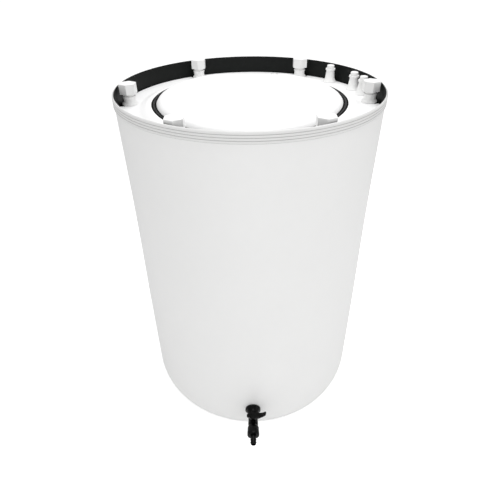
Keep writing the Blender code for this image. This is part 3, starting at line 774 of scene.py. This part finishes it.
start, end, flange = outward("tap_body")
face = outward("tap_outer_washer")[1] + GAP
BARREL = 0.0125
body_outline = [(0.0060, start), (0.0120, start), (0.0130, start + 0.001), (0.0130, face),
                (flange - 0.0005, face), (flange, face + 0.0005), (flange, face + 0.0022),
                (flange - 0.0006, face + 0.0028)]
body_outline += [(BARREL + 0.0020 + (flange - 0.0016 - BARREL - 0.0020) * (1.0 - step / 8) ** 1.25,
                  face + 0.0030 + 0.0095 * step / 8) for step in range(9)]
body_outline += [(BARREL + 0.0004, face + 0.0135), (BARREL, face + 0.0142), (BARREL, end - 0.0080),
                 (BARREL + 0.0006, end - 0.0076), (BARREL + 0.0006, end - 0.0006), (BARREL, end),
                 (0.0098, end), (0.0098, end - 0.0240), (0.0060, end - 0.0240)]
tap_body = spun("valve_body", body_outline, 72, TAP_START, TAP_AXIS)
valve_y = middle("tap_stem")[1]
stem_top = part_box("tap_lever")[0][2] - GAP
deselect()
bpy.ops.mesh.primitive_cylinder_add(vertices=48, radius=0.0078, depth=stem_top - TAP_START.z - 0.0106,
                                    location=(0.0, valve_y, (stem_top + TAP_START.z + 0.0106) / 2))
boss = settle(bpy.context.active_object)
joined = tap_body.modifiers.new("boss", "BOOLEAN")
joined.operation = "UNION"
joined.solver = "EXACT"
joined.object = boss
deselect()
tap_body.select_set(True)
bpy.context.view_layer.objects.active = tap_body
bpy.ops.object.modifier_apply(modifier=joined.name)
bpy.data.objects.remove(boss)
cut_away(tap_body, bar("stem_bore", 0.0043, TAP_START.z + 0.005, stem_top + 0.01, (0.0, valve_y), 32))
dress(tap_body, "tank", "black_plastic", black_moulding, "tap_body")

near, far, radius = outward("tap_neck")
tap_piece("threaded_neck", [(0.0060, near), (0.0095, near), (0.0095, far - 0.0157),
                            (radius - 0.0004, far - 0.0157),
                            (radius, far - 0.0153), (radius, far - 0.0121), (radius - 0.0004, far - 0.0117),
                            (0.0105, far - 0.0117), (0.0105, far), (0.0060, far)], black_moulding, "tap_neck")
near, far, radius = outward("hose_washer")
tap_piece("tail_washer", [(0.0063, near), (radius, near), (radius, far), (0.0063, far)],
          rubber, "hose_washer",
          slot="black_rubber")

# %% [markdown]
# ## The barbed tail and the fluted nut
# The tail has three barbs that hold a hose: each rises steeply and falls away slowly towards
# the open end. The nut is spun with flat flutes cut round it by a small cylinder, which is
# turned to each place in a loop.

# %% Spin the tail
near, far, collar = outward("hose_tail")
nut_near, nut_far, nut_r = outward("coupling_nut")
TAIL_R, BARB_R, TAIL_BORE = 0.0064, 0.0080, 0.0045
BARBS = 3
first_barb = nut_far + 0.002
barb_pitch = (far - first_barb) / BARBS
tail_outline = [(TAIL_BORE, near), (collar, near), (collar, near + 0.0060), (TAIL_R, near + 0.0060)]
for barb in range(BARBS):
    start = first_barb + barb * barb_pitch
    tail_outline += [(TAIL_R, start), (BARB_R - 0.0003, start + 0.0007), (BARB_R, start + 0.0013),
                     (BARB_R - 0.0004, start + 0.0024), (TAIL_R, start + barb_pitch - 0.0010)]
tail_outline += [(TAIL_R - 0.0004, far), (TAIL_BORE + 0.0004, far), (TAIL_BORE, far - 0.0004)]
tap_piece("barbed_tail", tail_outline, black_moulding, "hose_tail")

# %% Spin the nut and cut its flutes
collar_far = near + 0.0060 + GAP
nut_outline = [(0.0108, nut_near), (nut_r - 0.0030, nut_near), (nut_r - 0.0020, nut_near + 0.0010),
               (nut_r - 0.0008, nut_near + 0.0045), (nut_r - 0.0003, nut_far - 0.0110),
               (nut_r, nut_far - 0.0080), (nut_r, nut_far - 0.0026), (nut_r - 0.0007, nut_far - 0.0010),
               (nut_r - 0.0020, nut_far), (0.0067, nut_far), (0.0067, collar_far), (0.0108, collar_far)]
nut = spun("fluted_nut", nut_outline, 96, TAP_START, TAP_AXIS)
FLUTES = 12
for flute in range(FLUTES):
    turn = 2.0 * math.pi * flute / FLUTES
    cutter = bar("flute", 0.0018, nut_near + 0.0035, nut_far - 0.0055, (nut_r + 0.0007, 0.0), 20)
    lay = Matrix.Translation(TAP_START) @ Matrix.Rotation(math.pi / 2, 4, "X") @ Matrix.Rotation(turn, 4, "Z")
    cutter.data.transform(lay)
    cut_away(nut, cutter)
dress(nut, "nut", "black_plastic", black_moulding, "coupling_nut")

# %% [markdown]
# ## The lever
# The handle is a flat teardrop: a round hub on the stem, a long arm that rises to a thumb
# pad, and a short lug opposite. A cube is stretched and cut into slices, the slices are
# pulled to the outline, and the edges are bevelled and smoothed.

# %% Shape the lever from a cube
lever_low, lever_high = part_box("tap_lever")
HUB_R = 0.0115
LUG_R = 0.0040
PAD_R = 0.0042


def half_width(x):
    """Half the lever's width at this distance from the stem."""
    hub = math.sqrt(max(0.0, HUB_R ** 2 - x * x))
    if x > 0.0:
        share = min(1.0, x / lever_high[0])
        arm = 0.0108 + (PAD_R - 0.0108) * share ** 0.75
        tip = math.sqrt(max(0.0, 1.0 - max(0.0, (x - (lever_high[0] - PAD_R)) / PAD_R) ** 2))
        return max(hub, arm * (0.35 + 0.65 * tip))
    tip = math.sqrt(max(0.0, 1.0 - max(0.0, (-x - (-lever_low[0] - LUG_R)) / LUG_R) ** 2))
    return max(hub, LUG_R * (0.35 + 0.65 * tip))


def lever_lift(x):
    share = max(0.0, (x - HUB_R) / (lever_high[0] - HUB_R))
    return 0.0100 * share ** 1.5


def lever_thickness(x):
    share = max(0.0, (x - HUB_R) / (lever_high[0] - HUB_R))
    return 0.0075 - 0.0025 * min(1.0, 3.0 * share) + 0.0035 * max(0.0, share - 0.7) / 0.3


deselect()
bpy.ops.mesh.primitive_cube_add(size=1.0, location=(0.0, 0.0, 0.0))
lever = bpy.context.active_object
lever.name = lever.data.name = "valve_lever"
span = lever_high[0] - lever_low[0]
bpy.ops.transform.resize(value=(span, 1.0, 1.0), center_override=(0.0, 0.0, 0.0))
settle(lever)
lever.select_set(True)
bpy.context.view_layer.objects.active = lever
bpy.ops.object.mode_set(mode="EDIT")
SLICES = 44
for step in range(1, SLICES):
    bpy.ops.mesh.select_all(action="SELECT")
    bpy.ops.mesh.bisect(plane_co=(-span / 2 + span * step / SLICES, 0.0, 0.0), plane_no=(1.0, 0.0, 0.0))
bpy.ops.object.mode_set(mode="OBJECT")
for vert in lever.data.vertices:
    x = vert.co.x + span / 2 + lever_low[0]
    y = valve_y + math.copysign(half_width(x), vert.co.y)
    z = lever_low[2] + lever_lift(x) + (lever_thickness(x) if vert.co.z > 0.0 else 0.0)
    vert.co = (x, y, z)
soften = lever.modifiers.new("soften", "BEVEL")
soften.width = 0.0009
soften.segments = 3
soften.limit_method = "ANGLE"
soften.angle_limit = math.radians(50.0)
bpy.ops.object.modifier_apply(modifier=soften.name)
lever.select_set(False)
stem_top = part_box("tap_stem")[1][2]
cut_away(lever, bar("stem_socket", 0.0043, lever_low[2] - 0.01, stem_top + GAP, (0.0, valve_y), 32))
dress(lever, "lever", "black_plastic", black_moulding, "tap_lever")

# %% [markdown]
# ## The slider and the small inner pieces
# The zip's slider, the valve's ball and the fastenings inside the tank keep their solid
# shapes: only their finish changes. Each gets the finish of what it is made of.

# %% Give the remaining solid pieces their finish
def refinish(node, surface):
    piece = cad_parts[node]
    piece.data.materials.clear()
    piece.data.materials.append(surface)


kept = {"zip_slider": slider_enamel, "zip_pull": slider_enamel, "tap_ball": valve_white,
        "tap_seat_inner": valve_white, "tap_seat_outer": valve_white, "tap_stem": black_moulding,
        "tap_lock_nut": black_moulding, "tap_strainer": black_moulding}
kept.update({"pole_foot_%d" % number: rubber for number in range(1, 7)})
for node, surface in kept.items():
    refinish(node, surface)
print(len(kept), "solid pieces kept with a new finish")

# %% [markdown]
# ## Studio
# The tank stands on a plain white floor, under soft light. The floor
# and the world look pure white to the camera only; the object is lit at a plain level. A
# large lamp above the front lights the lid more than the wall, as the real studio did.

# %% Lay the floor
def stage_material(name, tone, seen):
    """White to the camera and plain to everything else, so it still takes shadows."""
    made = bpy.data.materials.new(name)
    made.use_nodes = True
    nodes, links = made.node_tree.nodes, made.node_tree.links
    shader = nodes["Principled BSDF"]
    shader.inputs["Base Color"].default_value = (tone, tone, tone, 1.0)
    shader.inputs["Roughness"].default_value = 0.9
    glow = nodes.new("ShaderNodeEmission")
    glow.inputs["Strength"].default_value = seen
    ray = nodes.new("ShaderNodeLightPath")
    mix = nodes.new("ShaderNodeMixShader")
    links.new(ray.outputs["Is Camera Ray"], mix.inputs["Fac"])
    links.new(shader.outputs["BSDF"], mix.inputs[1])
    both = nodes.new("ShaderNodeAddShader")
    links.new(shader.outputs["BSDF"], both.inputs[0])
    links.new(glow.outputs["Emission"], both.inputs[1])
    links.new(both.outputs["Shader"], mix.inputs[2])
    links.new(mix.outputs["Shader"], nodes["Material Output"].inputs["Surface"])
    return made


deselect()
bpy.ops.mesh.primitive_plane_add(size=30.0, location=(0.0, 0.0, -0.0005))
floor = bpy.context.active_object
floor.name = "studio_floor"
floor.data.materials.append(stage_material("studio floor", 0.92, 0.50))

# %% Light the scene
world = bpy.context.scene.world or bpy.data.worlds.new("studio")
bpy.context.scene.world = world
world.use_nodes = True
background = world.node_tree.nodes["Background"]
background.inputs["Color"].default_value = (1.0, 1.0, 1.0, 1.0)
ray = world.node_tree.nodes.new("ShaderNodeLightPath")
level = world.node_tree.nodes.new("ShaderNodeMapRange")
AMBIENT = 0.60
level.inputs["To Min"].default_value = AMBIENT
level.inputs["To Max"].default_value = 1.0
world.node_tree.links.new(ray.outputs["Is Camera Ray"], level.inputs["Value"])
world.node_tree.links.new(level.outputs["Result"], background.inputs["Strength"])


def lamp(name, place, size, power):
    deselect()
    bpy.ops.object.light_add(type="AREA", location=place)
    made = bpy.context.active_object
    made.name = name
    made.data.size = size
    made.data.energy = power
    made.rotation_euler = (Vector((0.0, 0.0, 0.5)) - Vector(place)).to_track_quat("-Z", "Y").to_euler()
    return made


lamp("front_soft", (-0.6, -2.6, 1.6), 2.2, 9.0)
lamp("top_soft", (0.2, 0.2, 3.4), 2.4, 60.0)
lamp("right_fill", (2.6, -1.2, 1.4), 1.8, 6.0)
lamp("low_front", (0.2, -2.6, 0.5), 1.8, 7.5)

# %% [markdown]
# ## Camera
# The camera stands in front of the tap and above the rim, looking down at about 36 degrees
# with a slight roll. Its lens is a moderate wide angle.

# %% Place the camera
deselect()
bpy.ops.object.camera_add(location=(-0.0033, -0.9970, RIM_Z + 0.2546))
camera = bpy.context.active_object
camera.data.lens = 30.83
camera.data.clip_end = 50.0
look_down = Matrix.Rotation(math.radians(54.52), 4, "X")
roll = Matrix.Rotation(math.radians(-0.63), 4, "Z")
camera.rotation_euler = (look_down @ roll).to_euler()
bpy.context.scene.camera = camera
bpy.context.scene.view_settings.view_transform = "Standard"
